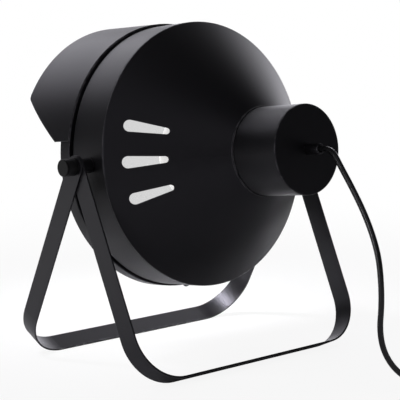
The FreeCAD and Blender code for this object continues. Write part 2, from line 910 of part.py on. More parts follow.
def spiral(turns):
    """Centre line of the coil after a number of turns, and its direction there."""
    into = COIL_TURNS_IN
    flip = COIL_CLIMB
    per_turn = TURN_PITCH
    inner = COIL_OUT_R - per_turn * into
    if turns <= into:
        radius, change, height, climb = COIL_OUT_R - per_turn * turns, -per_turn, LAYER_1, 0.0
    elif turns >= into + flip:
        radius, change = inner + per_turn * (turns - into - flip), per_turn
        height, climb = LAYER_2, 0.0
    else:
        share = (turns - into) / flip
        radius = inner - per_turn * flip * share * (1 - share)
        change = per_turn * (2 * share - 1)
        rise = LAYER_2 - LAYER_1
        height = LAYER_1 + rise * share * share * (3 - 2 * share)
        climb = rise * 6 * share * (1 - share) / flip
    angle = math.pi + 2 * math.pi * turns
    out = V(math.cos(angle), math.sin(angle), 0)
    way = V(-math.sin(angle), math.cos(angle), 0)
    point = V(COIL_X, COIL_Y, height) + out * radius
    tangent = way * (2 * math.pi * radius) + out * change + Z_AXIS * climb
    return point, tangent.normalize()


def tangent_arc(start, way, end):
    """The arc that leaves start along way and reaches end."""
    chord = end - start
    across = chord - way * chord.dot(way)
    centre = start + across * (chord.dot(chord) / (2 * across.dot(chord)))
    radius = (start - centre).Length
    middle = centre + ((start - centre) + (end - centre)).normalize() * radius
    return Part.Arc(start, middle, end).toShape()


def biarc(start, way_in, end, way_out):
    """Two arcs that join two points and share a tangent between them."""
    chord = end - start
    ways = way_in + way_out
    bend = 2 * (1 - way_in.dot(way_out))
    along = chord.dot(ways)
    reach = (-along + math.sqrt(along * along + bend * chord.dot(chord))) / bend
    meet = (start + end + (way_in - way_out) * reach) * 0.5
    to_meet = tangent_arc(start, way_in, meet)
    from_meet = tangent_arc(end, way_out * -1, meet)
    return [to_meet, from_meet]


def cord_coil():
    total = 2 * COIL_TURNS_IN + COIL_CLIMB
    quarter = 0.25
    steps = round(total / quarter)
    marks = [spiral(i * quarter) for i in range(steps + 1)]
    first_point, first_way = marks[0]
    last_point, last_way = marks[-1]
    edges = [Part.LineSegment(COIL_ENTRY, first_point).toShape()]
    marks[0] = (first_point, (first_point - COIL_ENTRY).normalize())
    marks[-1] = (last_point, (COIL_EXIT - last_point).normalize())
    for (start, way_in), (end, way_out) in zip(marks, marks[1:]):
        edges += biarc(start, way_in, end, way_out)
    edges.append(Part.LineSegment(last_point, COIL_EXIT).toShape())
    edges = Part.__sortEdges__(edges)
    solid = swept("cord_coil", edges)
    print_least_gap(Part.Wire(edges))
    return solid


def print_least_gap(path):
    """Least gap between the coil's turns, measured on points of its centre line."""
    points = path.discretize(Distance=1.5)
    apart = 14
    least = min(
        points[i].distanceToPoint(points[j])
        for i in range(len(points))
        for j in range(i + apart, len(points))
    )
    print(f"coil least gap {least - 2 * CORD_R:.2f}")


def coil_tie():
    """A flat tie round the bundle of turns, at the side away from the lamp."""
    half_w = 3.0
    inner_side = COIL_OUT_R - TURN_PITCH * (COIL_TURNS_IN + COIL_CLIMB) - CORD_R - TIE_GAP
    outer_side = COIL_OUT_R + CORD_R + TIE_GAP + 0.5
    low = TIE_T
    high = LAYER_2 + CORD_R + TIE_GAP
    corner = 3.0

    def block(grow, bend):
        box = Part.makeBox(
            outer_side - inner_side + 2 * grow,
            2 * half_w,
            high - low + 2 * grow,
            V(inner_side - grow, -half_w, low - grow),
        )
        along = [e for e in box.Edges if abs(e.tangentAt(e.FirstParameter).y) > 0.9]
        return box.makeFillet(bend, along)

    tie = block(TIE_T, corner).cut(block(0, corner - TIE_T))
    tie.rotate(ORIGIN, Z_AXIS, 45)
    tie.translate(V(COIL_X, COIL_Y, 0))
    return tie


# Cord switch: two shells, a rocker on its pin, a contact block and two screws

ROCKER_L = 19.0
ROCKER_W = 11.0
ROCKER_THROW = 7.0
ROCKER_AXIS_Z = 13.6
ROCKER_ROOM = 0.9
ROCKER_PIN_R = 1.0
SWITCH_CORNER_R = 9.0
SWITCH_SCREW_X = 20.0
SWITCH_SCREW_Y = 6.0


def switch_block(inset, low, high):
    """The switch's outline in plan, shrunk by inset, from one height to another."""
    width = SWITCH_W - 2 * inset
    length = SWITCH_BODY - 2 * inset
    box = Part.makeBox(length, width, high - low, V(-length / 2, -width / 2, low))
    uprights = [e for e in box.Edges if abs(e.tangentAt(e.FirstParameter).z) > 0.9]
    return box.makeFillet(SWITCH_CORNER_R - inset, uprights)


def to_switch(shape):
    shape.translate(V(SWITCH_MID_X, SWITCH_Y, 0))
    return shape


def at_switch_screw(side, height):
    """The two screws sit at opposite corners of the switch."""
    return V(side * SWITCH_SCREW_X, side * SWITCH_SCREW_Y, height)


def switch_sleeves():
    """Tapered sleeves at both ends, where the cord goes in."""
    sleeves = []
    for side in (RIGHT, LEFT):
        base = V(side * (SWITCH_BODY / 2 - 1.0), 0, SWITCH_AXIS_Z)
        cone = Part.makeCone(6.5, 4.4, SWITCH_SLEEVE + 1.0, base, X_AXIS * side)
        sleeves.append(cone)
    return sleeves[0].fuse(sleeves[1])


def switch_shells():
    body = switch_block(0, 0, SWITCH_H)
    top = [e for e in body.Edges if e.BoundBox.ZMin > SWITCH_H - 1e-6]
    body = body.makeFillet(2.4, top)
    whole = body.fuse(switch_sleeves())
    room = switch_block(SWITCH_WALL, SWITCH_WALL, SWITCH_H - SWITCH_WALL)
    whole = whole.cut(room)
    for side in (RIGHT, LEFT):
        inside = V(side * (SWITCH_BODY / 2 - 3), 0, SWITCH_AXIS_Z)
        whole = whole.cut(rod(1.8, inside, X_AXIS * side, SWITCH_SLEEVE + 2))
    # the shells part at the height of the cord
    long = SWITCH_BODY + 2 * SWITCH_SLEEVE + 2
    wide = 2 * SWITCH_W
    below = Part.makeBox(long, wide, SWITCH_AXIS_Z, V(-long / 2, -SWITCH_W, 0))
    above = Part.makeBox(long, wide, SWITCH_H, V(-long / 2, -SWITCH_W, SWITCH_AXIS_Z + SNUG))
    base = whole.common(below)
    cover = whole.common(above)
    window_l = ROCKER_L + 2 * ROCKER_ROOM
    window_w = ROCKER_W + 2 * ROCKER_ROOM
    window = Part.makeBox(window_l, window_w, 8, V(-window_l / 2, -window_w / 2, SWITCH_H - 5))
    cover = cover.cut(window)
    for side in (RIGHT, LEFT):
        base = base.cut(rod(1.3, at_switch_screw(side, -1), Z_AXIS, 6))
    return to_switch(base), to_switch(cover)


def switch_rocker():
    """A rocker with two sloping faces, tipped to its off side, with its pivot pin's bore."""
    top_mid = SWITCH_H + 0.4
    top_end = top_mid + 1.6
    profile = [
        V(-ROCKER_L / 2, 0, top_end),
        V(0, 0, top_mid),
        V(ROCKER_L / 2, 0, top_end),
        V(ROCKER_L / 2 - 0.6, 0, SWITCH_H - 3.2),
        V(3.0, 0, ROCKER_AXIS_Z - 3.0),
        V(-3.0, 0, ROCKER_AXIS_Z - 3.0),
        V(-ROCKER_L / 2 + 0.6, 0, SWITCH_H - 3.2),
        V(-ROCKER_L / 2, 0, top_end),
    ]
    body = Part.Face(Part.makePolygon(profile)).extrude(V(0, ROCKER_W, 0))
    body.translate(V(0, -ROCKER_W / 2, 0))
    bore = rod(ROCKER_PIN_R + RUNNING, V(0, -ROCKER_W, ROCKER_AXIS_Z), Y_AXIS, 2 * ROCKER_W)
    body = body.cut(bore)
    body.rotate(V(0, 0, ROCKER_AXIS_Z), Y_AXIS, -ROCKER_THROW)
    return to_switch(body)


def rocker_pin():
    start = V(0, -ROCKER_W / 2 - 4.0, ROCKER_AXIS_Z)
    return to_switch(rod(ROCKER_PIN_R, start, Y_AXIS, ROCKER_W + 8.0))


def switch_contacts():
    """The moulded contact block under the rocker, with cheeks that hold the rocker's pin."""
    block = Part.makeBox(40.0, 18.0, 5.0, V(-20, -9, SWITCH_WALL + SNUG))
    for side in (RIGHT, LEFT):
        cheek_y = 6.3 if side == RIGHT else -8.9
        cheek = Part.makeBox(6.0, 2.6, 9.6, V(-3, cheek_y, SWITCH_WALL + 4.0))
        cheek = cheek.cut(rod(ROCKER_PIN_R + SNUG, V(0, -20, ROCKER_AXIS_Z), Y_AXIS, 40))
        block = block.fuse(cheek)
        block = block.cut(rod(1.6, at_switch_screw(side, 0), Z_AXIS, 12))
        block = block.cut(rod(1.9, V(side * 10, -3.5 * side, SWITCH_WALL + 3), Z_AXIS, 6))
    return to_switch(block.removeSplitter())


def switch_screws():
    screws = []
    for side in (RIGHT, LEFT):
        screws.append(to_switch(rod(1.2, at_switch_screw(side, 0.3), Z_AXIS, 6.0)))
    return group(screws)


# Two-pin plug

PLUG_W = 35.0
PLUG_T = 13.7
PLUG_BODY = 30.0
PLUG_NOSE = 13.0
PLUG_SHOULDER = 17.0
PIN_R = 2.0
PIN_ROOT_R = 1.7
PIN_LENGTH = 19.0
PIN_ROOT_LENGTH = 10.0
PIN_IN_BODY = 8.0
PIN_APART = 18.6


def plug_body():
    """A flat body with slanted shoulders and a tapered cord sleeve. It points along -Y."""
    half = PLUG_W / 2
    plan = [
        V(-half, -PLUG_BODY, 0),
        V(half, -PLUG_BODY, 0),
        V(half, -PLUG_BODY + PLUG_SHOULDER, 0),
        V(7.5, 0, 0),
        V(-7.5, 0, 0),
        V(-half, -PLUG_BODY + PLUG_SHOULDER, 0),
        V(-half, -PLUG_BODY, 0),
    ]
    slab = Part.Face(Part.makePolygon(plan)).extrude(V(0, 0, PLUG_T))
    slab.translate(V(0, 0, -PLUG_T / 2))
    uprights = [e for e in slab.Edges if abs(e.tangentAt(e.FirstParameter).z) > 0.9]
    slab = slab.makeFillet(3.0, uprights)
    rims = [e for e in slab.Edges if abs(abs(e.BoundBox.Center.z) - PLUG_T / 2) < 1e-6]
    slab = slab.makeFillet(1.6, rims)
    nose = Part.makeCone(5.6, 4.2, PLUG_NOSE + 2, V(0, -2, 0), Y_AXIS)
    body = slab.fuse(nose).removeSplitter()
    for side in (RIGHT, LEFT):
        low = V(side * PIN_APART / 2, -PLUG_BODY - 1, 0)
        body = body.cut(rod(PIN_ROOT_R + SNUG, low, Y_AXIS, PIN_IN_BODY + 1.1))
    body.translate(V(PLUG_X, PLUG_Y - PLUG_NOSE, PLUG_AXIS_Z))
    return body


def plug_pins():
    """Two round pins, thinner over the insulated half next to the plug's face."""
    pins = []
    face = PLUG_Y - PLUG_NOSE - PLUG_BODY
    for side in (RIGHT, LEFT):
        x = PLUG_X + side * PIN_APART / 2
        end = face - PIN_LENGTH
        pin = rod(PIN_R, V(x, end, PLUG_AXIS_Z), Y_AXIS, PIN_LENGTH - PIN_ROOT_LENGTH)
        tip = [e for e in pin.Edges if e.BoundBox.YMax < end + 0.01]
        root = V(x, face - PIN_ROOT_LENGTH, PLUG_AXIS_Z)
        pin = pin.makeFillet(0.9, tip).fuse(rod(PIN_ROOT_R, root, Y_AXIS, PIN_ROOT_LENGTH + PIN_IN_BODY))
        pins.append(pin.removeSplitter())
    return group(pins)


# Write every piece

save("drum_band", head(drum_band()))
save("rear_cone", head(rear_cone()))
save("holder_can", head(holder_can()))
save("rear_cap", head(rear_cap()))
save("threaded_nipple", head(threaded_nipple()))
save("nipple_washer", head(nipple_washer()))
save("nipple_nut", head(nipple_nut()))
save("cord_gland", head(cord_gland()))
save("cord_sleeve", head(cord_sleeve()))
save("cord_inlet", head(cord_inlet()))
save("holder_dome", head(holder_dome()))
save("holder_skirt", head(holder_skirt()))
save("holder_insert", head(holder_insert()))
save("thread_sleeve", head(thread_sleeve()))
save("centre_contact", head(centre_contact()))
save("terminal_screws", head(terminal_screws()))
save("inner_leads", head(inner_leads()))
save("bulb_globe", head(bulb_globe()))
save("bulb_cap", head(bulb_cap()))
save("bulb_insulator", head(bulb_insulator()))
save("bulb_contact", head(bulb_contact()))
save("front_ring", head(front_ring()))
save("ring_collar", head(ring_collar()))
save("glass_gasket", head(glass_gasket()))
save("front_glass", head(front_glass()))
save("ring_lock_screw", head(ring_lock_screw()))
save("ring_lock_nut", head(ring_lock_nut()))
save("hood", head(hood()))
for side, word in ((RIGHT, "right"), (LEFT, "left")):
    save("pivot_saddle_" + word, head(pivot_saddle(side)))
    save("pivot_nut_" + word, head(pivot_nut(side)))
    save("pivot_stud_" + word, head(pivot_stud(side)))
    save("pivot_spacer_" + word, head(pivot_spacer(side)))
    save("friction_washer_" + word, head(friction_washer(side)))
    save("knob_" + word, head(knob(side)))
    save("knob_insert_" + word, head(knob_insert(side)))
    save("knob_washer_" + word, head(knob_washer(side)))
save("front_frame", frame(FRONT_LEAN, FRONT_PLATE_OUT))
save("rear_frame", frame(-REAR_LEAN, REAR_PLATE_OUT))

drop, drop_length = cord_along("cord_drop", DROP_ROUTE)
link, link_length = cord_along("cord_link", LINK_ROUTE)
tail, tail_length = cord_along("cord_tail", TAIL_ROUTE)
save("cord_drop", drop)
save("cord_link", link)
save("cord_tail", tail)
coil = cord_coil()
save("cord_coil", coil)
save("coil_tie", coil_tie())
shell_base, shell_cover = switch_shells()
save("switch_base", shell_base)
save("switch_cover", shell_cover)
save("switch_rocker", switch_rocker())
save("rocker_pin", rocker_pin())
save("switch_contacts", switch_contacts())
save("switch_screws", switch_screws())
save("plug_body", plug_body())
save("plug_pins", plug_pins())

coil_length = coil.Volume / (math.pi * CORD_R * CORD_R)
in_switch = abs(SWITCH_END_X - SWITCH_START_X)
cord_length = drop_length + link_length + tail_length + coil_length + in_switch
print(f"cord {cord_length:.0f} from the gland to the plug")
on_the_cord = ("cord_drop", "cord_link", "cord_tail", "cord_coil", "coil", "switch", "rocker", "plug")
lamp = group(shape for name, shape in made.items() if not name.startswith(on_the_cord))
box = lamp.optimalBoundingBox(False, False)
print(f"lamp {box.XLength:.1f} wide, {box.YLength:.1f} deep, {box.ZLength:.1f} high")
print(len(made), "pieces")
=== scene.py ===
# %% [markdown]
# # A tabletop searchlight lamp
#
# The lamp comes to Blender as a finished construction model: every part of sheet metal, every
# screw and the coiled cord are already there as solids, each riding on the body that it moves
# with. This lesson gives that model its looks. It goes in the order a photographer would work in:
# camera first, then the cord, the finishes, the small details, and the light last.

import math

import bpy
from mathutils import Matrix, Vector


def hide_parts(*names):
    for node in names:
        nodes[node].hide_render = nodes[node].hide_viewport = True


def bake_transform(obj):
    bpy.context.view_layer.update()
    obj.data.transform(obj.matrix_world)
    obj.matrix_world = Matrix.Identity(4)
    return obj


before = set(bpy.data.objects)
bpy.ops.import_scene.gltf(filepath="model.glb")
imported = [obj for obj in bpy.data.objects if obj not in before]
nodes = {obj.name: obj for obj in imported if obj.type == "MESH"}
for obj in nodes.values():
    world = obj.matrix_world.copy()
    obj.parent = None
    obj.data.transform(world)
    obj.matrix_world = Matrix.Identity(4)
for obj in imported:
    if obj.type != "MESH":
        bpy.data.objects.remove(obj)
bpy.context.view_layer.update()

# %% [markdown]
# ## The camera
#
# The photograph was taken from behind the lamp and a little above it, from far enough away that
# the drum looks nearly round. A camera can be aimed by hand until the picture seems right, but
# here its place was worked out from the circles of the drum and the straight edges of the stands,
# so that every edge of the model falls on its edge in the picture. The small shift says that the
# picture was cropped slightly off its centre.

# %% Camera
AIM = Vector((0.0, -0.00748, 0.17688))
AZIMUTH = math.radians(137.685)
ELEVATION = math.radians(8.304)
ROLL = math.radians(-0.3155)
DISTANCE = 1.61246
SENSOR = 36.0
LENS = 127.032
SHIFT_RIGHT = -0.01848
SHIFT_UP = 0.00496
NEAREST = 0.05


def aimed(aim, azimuth, elevation, distance, roll):
    """The matrix of something that looks at a point from a distance, level unless rolled."""
    flat = math.cos(elevation)
    back = Vector((math.sin(azimuth) * flat, -math.cos(azimuth) * flat, math.sin(elevation)))
    level = Vector((0, 0, 1)).cross(back).normalized()
    upright = back.cross(level)
    right = level * math.cos(roll) + upright * math.sin(roll)
    up = upright * math.cos(roll) - level * math.sin(roll)
    turned = Matrix((right, up, back)).transposed().to_4x4()
    turned.translation = aim + back * distance
    return turned


camera = bpy.data.objects.new("camera", bpy.data.cameras.new("camera"))
camera.data.sensor_width = SENSOR
camera.data.lens = LENS
camera.data.shift_x = SHIFT_RIGHT
camera.data.shift_y = SHIFT_UP
camera.data.clip_start = NEAREST
camera.matrix_world = aimed(AIM, AZIMUTH, ELEVATION, DISTANCE, ROLL)
bpy.context.scene.collection.objects.link(camera)
bpy.context.scene.camera = camera
print("camera at", [round(x, 4) for x in camera.matrix_world.translation])

# %% [markdown]
# ## The cord's line
#
# A mains cord is one length of something flexible. It leaves the gland straight, turns down under
# its own weight, hangs, and comes to lie on the table, where it runs through its switch to a
# put-away coil and the plug. It could be a mesh swept by hand, but a NURBS curve suits it better:
# its control points only say where the cord is led, and the curve between them has no kinks, just
# as the cord has none.

# %% Where the cord is led, in metres
CORD_RADIUS = 0.0031
HANG = [
    (0, 0.16889, 0.25141), (0, 0.17605, 0.25219), (0, 0.183, 0.2504), (0, 0.1888, 0.2464),
    (0, 0.197, 0.235), (0, 0.2114, 0.2166), (0, 0.2284, 0.1925), (0, 0.2414, 0.1687),
    (0, 0.2498, 0.1462), (0, 0.2533, 0.1212), (0, 0.2542, 0.097), (-0.001, 0.2512, 0.073),
    (-0.008, 0.2498, 0.05), (-0.022, 0.251, 0.0295), (-0.041, 0.254, 0.014),
    (-0.062, 0.2572, 0.0052), (-0.083, 0.2603, 0.0029), (-0.103, 0.262, 0.0064),
    (-0.118, 0.262, 0.0095), (-0.13, 0.262, 0.0095),
]
TO_COIL = [
    (-0.206, 0.262, 0.0095), (-0.223, 0.262, 0.0095), (-0.246, 0.258, 0.0072),
    (-0.265, 0.245, 0.0052), (-0.277, 0.2262, 0.0043), (-0.277, 0.2062, 0.0043),
]
TO_PLUG = [
    (-0.277, 0.1938, 0.0111), (-0.277, 0.1788, 0.0111), (-0.28, 0.1588, 0.007),
    (-0.28, 0.1438, 0.007),
]
print("the cord leaves the gland at", HANG[0], "and ends in the plug at", TO_PLUG[-1])

# %% [markdown]
# The spare length is wound flat, from the outside in on the table, and back out in a second layer
# on top of the first. A loop works out its points, because nobody would place a hundred of them
# by hand.

# %% The coil's turns
COIL_CENTRE = Vector((-0.232, 0.2))
COIL_RADIUS = 0.045
TURN_PITCH = 0.0068
TURNS_IN = 2.25
HALF_TURN = 0.5
LOWER = 0.0043
UPPER = 0.0111
POINTS_PER_TURN = 20


def wound(turns):
    """The centre line after some turns: in, half a turn of climb, and out again on top."""
    inner = COIL_RADIUS - TURN_PITCH * TURNS_IN
    share = min(max((turns - TURNS_IN) / HALF_TURN, 0.0), 1.0)
    if turns <= TURNS_IN:
        radius = COIL_RADIUS - TURN_PITCH * turns
    elif share < 1:
        radius = inner - TURN_PITCH * HALF_TURN * share * (1 - share)
    else:
        radius = inner + TURN_PITCH * (turns - TURNS_IN - HALF_TURN)
    height = LOWER + (UPPER - LOWER) * share * share * (3 - 2 * share)
    angle = math.pi * (1 + 2 * turns)
    across = COIL_CENTRE.x + radius * math.cos(angle)
    deep = COIL_CENTRE.y + radius * math.sin(angle)
    return (across, deep, height)


total_turns = 2 * TURNS_IN + HALF_TURN
steps = round(total_turns * POINTS_PER_TURN)
coil = [wound(total_turns * (number + 0.5) / steps) for number in range(steps)]
route = HANG + TO_COIL + coil + TO_PLUG
print(len(coil), "points on the coil,", len(route), "on the whole cord")

# %% [markdown]
# A curve object holds the control points, and its bevel depth gives it the cord's thickness. It is
# then turned into a mesh, since a mesh can bend between two bodies. The curve's order is
# set after its points are there. Set before them it would stay at two, which is a chain of
# straight runs.

# %% From points to a tube
CORD_AROUND = 6
CORD_STEPS = 8
CORD_ORDER = 3


def curve_of(points, thickness):
    """A curve object through control points, as a line or as a round tube."""
    data = bpy.data.curves.new("cord_line", "CURVE")
    data.dimensions = "3D"
    spline = data.splines.new("NURBS")
    spline.points.add(len(points) - 1)
    for knot, point in zip(spline.points, points):
        knot.co = (*point, 1)
    spline.order_u = CORD_ORDER
    spline.use_endpoint_u = True
    spline.resolution_u = CORD_STEPS
    data.bevel_depth = thickness
    data.bevel_resolution = CORD_AROUND
    data.use_fill_caps = thickness > 0
    made = bpy.data.objects.new("cord_line", data)
    bpy.context.scene.collection.objects.link(made)
    return made


def mesh_of(curve):
    """The curve's mesh, with the curve taken away."""
    bpy.context.view_layer.update()
    seen = curve.evaluated_get(bpy.context.evaluated_depsgraph_get())
    mesh = bpy.data.meshes.new_from_object(seen)
    bpy.data.objects.remove(curve)
    return mesh


def add(name, mesh):
    """A new object with a mesh, in the scene."""
    made = bpy.data.objects.new(name, mesh)
    bpy.context.scene.collection.objects.link(made)
    return made


centre_line = [tuple(v.co) for v in mesh_of(curve_of(route, 0.0)).vertices]
cord = add("mains_cord", mesh_of(curve_of(route, CORD_RADIUS)))
for face in cord.data.polygons:
    face.use_smooth = True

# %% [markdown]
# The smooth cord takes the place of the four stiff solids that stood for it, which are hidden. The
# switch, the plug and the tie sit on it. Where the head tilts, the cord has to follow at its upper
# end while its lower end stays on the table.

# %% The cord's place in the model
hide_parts("cord_drop", "cord_link", "cord_coil", "cord_tail")
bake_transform(cord)

# %% [markdown]
# ## Shader sums written as Python
#
# A finish is made of nodes, and every sum in it is a node too. Wired by hand, even 1 - mask takes
# three lines. The small class below wraps a socket so that +, - and * make the Math nodes
# themselves. Both inputs of a Math node are called Value, so they go by their places.

# %% A socket that works in sums
FIRST, SECOND = 0, 1


class Socket:
    """One output of a node, on which ordinary arithmetic works."""

    def __init__(self, finish, output):
        self.finish = finish
        self.output = output

    def math(self, operation, first, second):
        settings = {"operation": operation}
        return self.finish.node("ShaderNodeMath", settings, {FIRST: first, SECOND: second})

    def __add__(self, other):
        return self.math("ADD", self, other)

    def __sub__(self, other):
        return self.math("SUBTRACT", self, other)

    def __rsub__(self, other):
        return self.math("SUBTRACT", other, self)

    def __mul__(self, other):
        return self.math("MULTIPLY", self, other)

    __radd__ = __add__
    __rmul__ = __mul__


print("sums on sockets are ready")

# %% [markdown]
# Every other kind of node comes from one method, which takes the node's type, its settings, and
# the values or links of its sockets. The settings are set first, because some of them decide which
# sockets the node has.

# %% A node tree under construction
class Finish:
    """The nodes of a material or of the world."""

    def __init__(self, owner):
        owner.use_nodes = True
        self.owner = owner
        self.tree = owner.node_tree
        self.tree.nodes.clear()

    def node(self, kind, settings=None, inputs=None, output=0):
        """Makes a node from its settings and its sockets' values. Gives back one output."""
        made = self.tree.nodes.new(kind)
        for setting, value in (settings or {}).items():
            setattr(made, setting, value)
        for where, value in (inputs or {}).items():
            if isinstance(value, Socket):
                self.tree.links.new(value.output, made.inputs[where])
            else:
                made.inputs[where].default_value = value
        return Socket(self, made.outputs[output]) if len(made.outputs) else None


print("node trees can be built")

# %% [markdown]
# Four patterns come back in nearly every finish: noise that is fixed to the piece, a soft step,
# one colour turning into another, and a bump. Noise is scaled in features per metre, so a scale
# of 1000 has features about a millimetre across, on a big sheet and on a small screw alike.

# %% Patterns that every finish uses
MIX_FACTOR, MIX_FROM, MIX_TO, MIX_COLOUR = 0, 6, 7, 2
EVEN = (1.0, 1.0, 1.0)


def grey(level, tint=0.0):
    """A grey that leans to violet by a little tint, the painted cast of cool studio light."""
    return (level, level * (1 - tint), level * (1 + tint), 1.0)


def place_on_piece(finish, stretch=EVEN):
    """Where a point is on its piece, in metres. A stretch draws patterns out along an axis."""
    place = finish.node("ShaderNodeTexCoord", output="Object")
    settings = {"operation": "MULTIPLY"}
    return finish.node("ShaderNodeVectorMath", settings, {FIRST: place, SECOND: stretch})


def noise(finish, scale, detail=2.0, stretch=EVEN):
    """Noise with so many features per metre, and finer ones inside them by its detail."""
    place = place_on_piece(finish, stretch)
    inputs = {"Vector": place, "Scale": scale, "Detail": detail}
    return finish.node("ShaderNodeTexNoise", inputs=inputs)


def step(finish, value, low, high):
    """0 below low and 1 above high, with a soft step between."""
    settings = {"interpolation_type": "SMOOTHSTEP"}
    inputs = {"Value": value, "From Min": low, "From Max": high}
    return finish.node("ShaderNodeMapRange", settings, inputs)


def turning(finish, share, first, second):
    """The first colour turning into the second."""
    inputs = {MIX_FACTOR: share, MIX_FROM: first, MIX_TO: second}
    return finish.node("ShaderNodeMix", {"data_type": "RGBA"}, inputs, output=MIX_COLOUR)


def bump(finish, height, depth, rounded=None):
    """A bump on the surface, or on a surface whose edges are already rounded off."""
    inputs = {"Height": height, "Distance": depth}
    if rounded:
        inputs["Normal"] = rounded
    return finish.node("ShaderNodeBump", inputs=inputs)


print("patterns are ready")

# %% [markdown]
# Edges tell what a thing is made of and how it was used. A Bevel node looks at the surface around
# a point and gives back the direction that a rounded edge would have. Fed into the shader it rounds
# the edge off in the shading. Compared with the true direction, it says where an edge is, so that
# wear can go there, and on the sheet coat a painted highlight too. The alternative is to paint wear
# by hand, piece by piece.

# %% Edges, rounded off or found
ROUNDING_SAMPLES = 6
WEAR_SAMPLES = 4
FLAT = 0.995
CORNER = 0.93


def round_off(finish, radius, samples=ROUNDING_SAMPLES):
    """The surface's direction, with its edges shaded as if they were rounded."""
    return finish.node("ShaderNodeBevel", {"samples": samples}, {"Radius": radius})


def edges(finish, reach):
    """1 where the surface turns a corner within reach, 0 on flat ground."""
    rounded = round_off(finish, reach, WEAR_SAMPLES)
    true = finish.node("ShaderNodeNewGeometry", output="Normal")
    settings = {"operation": "DOT_PRODUCT"}
    inputs = {FIRST: rounded, SECOND: true}
    same = finish.node("ShaderNodeVectorMath", settings, inputs, output="Value")
    return step(finish, same, FLAT, CORNER)


print("edges are ready")

# %% [markdown]
# Each finish begins as an empty material and ends in a Principled shader, which covers paint,
# plastic, metal and glass with one set of sockets. So both ends are written once.

# %% The two ends of a finish
def surface(finish, **sockets):
    """Ends a finish in a Principled shader. Its sockets are words joined by underscores."""
    inputs = {word.replace("_", " "): value for word, value in sockets.items()}
    shader = finish.node("ShaderNodeBsdfPrincipled", inputs=inputs)
    finish.node("ShaderNodeOutputMaterial", inputs={"Surface": shader})
    return finish.owner


def new_finish(name):
    """An empty finish for a new material."""
    return Finish(bpy.data.materials.new(name))


print("finishes can begin and end")

# %% [markdown]
# ## Powder coat
#
# Nearly everything in the picture is steel sheet or bar with a baked powder coat. Powder melts
# into a film that is satin and never quite flat: it keeps a faint orange peel of about a
# millimetre, with much finer grain on top. A flat black would look like a hole in the picture.
# What makes it read as paint is that the peel breaks up every highlight, that the gloss drifts a
# little from place to place, and that corners are rubbed smoother by hands. On the sheet the
# corners are also painted paler in patches, partly as wear and partly as a painted highlight of the
# edges.
#
# A number that multiplies a pattern says how far that pattern moves the value: the roughness
# drifts by 0.03 over the sheet and falls by 0.07 where it is rubbed. Noise has a mean of a half,
# so 0.04 is taken off again to keep the roughness at its given mean. The soft finishes and the
# glass further down start from their smoothest value instead, and only add to it.

# %% Black powder coat
# The coat's black and its reflections are tinted violet: a painted cast of the cool studio lamps.
PAINTED_COOL_SHEEN_TINT = (0.93, 0.91, 1.0, 1.0)
PAINTED_COOL_LIGHT_TINT = 0.05
PEEL = 850.0
GRAIN = 3600.0
FINE_RELIEF = 0.00005
COAT_ROUND = 0.0015


def film_of(finish, drift, level):
    """The coat's black, a fifth darker or paler from place to place."""
    return turning(finish, drift, grey(level * 0.8, PAINTED_COOL_LIGHT_TINT), grey(level * 1.2, PAINTED_COOL_LIGHT_TINT))


def powder_coat(name, level, rough, shine):
    finish = new_finish(name)
    drift = noise(finish, scale=11.0, detail=3.0)
    peel = noise(finish, PEEL)
    grain = noise(finish, GRAIN, detail=1.0)
    # Pale grey patches along the edges: partly wear, partly a painted highlight of the edges.
    edge_patches = noise(finish, scale=120.0, detail=3.0)
    paler_edges = edges(finish, reach=0.0011) * step(finish, edge_patches, low=0.35, high=0.65)
    film = film_of(finish, drift, level)
    rounded = round_off(finish, COAT_ROUND)
    return surface(
        finish,
        Base_Color=turning(finish, paler_edges * 0.7, film, grey(0.11, tint=0.03)),
        Roughness=drift * 0.03 + grain * 0.05 + (rough - 0.04) - paler_edges * 0.07,
        Specular_IOR_Level=shine,
        Specular_Tint=PAINTED_COOL_SHEEN_TINT,
        Normal=bump(finish, peel * 0.75 + grain * 0.25, FINE_RELIEF, rounded),
    )


sheet_coat = powder_coat("powder_coat_on_sheet", level=0.0023, rough=0.43, shine=0.34)
print("powder coat:", sheet_coat.name)

# %% [markdown]
# The stands are bent from flat bar, and bar is rolled steel: under its coat it keeps long faint
# lines from the mill, and its feet, which slide over tables, are scuffed through to a dull grey
# close to the ground. The lines are noise drawn out along the bar. The scuffs are held to the
# lowest few millimetres by the height of a point above the table.

# %% Coated flat bar with scuffed feet
BAR_ROUND = 0.0007
SCUFFED_FULLY = 0.0008
SCUFFED_NO_MORE = 0.0036
ALONG_BAR = (1.0, 12.0, 0.25)
ALONG_SCUFF = (0.3, 1.0, 1.0)


def along(finish, axis):
    """One coordinate of a point on its piece, by its letter."""
    place = finish.node("ShaderNodeTexCoord", output="Object")
    return finish.node("ShaderNodeSeparateXYZ", inputs={"Vector": place}, output=axis)


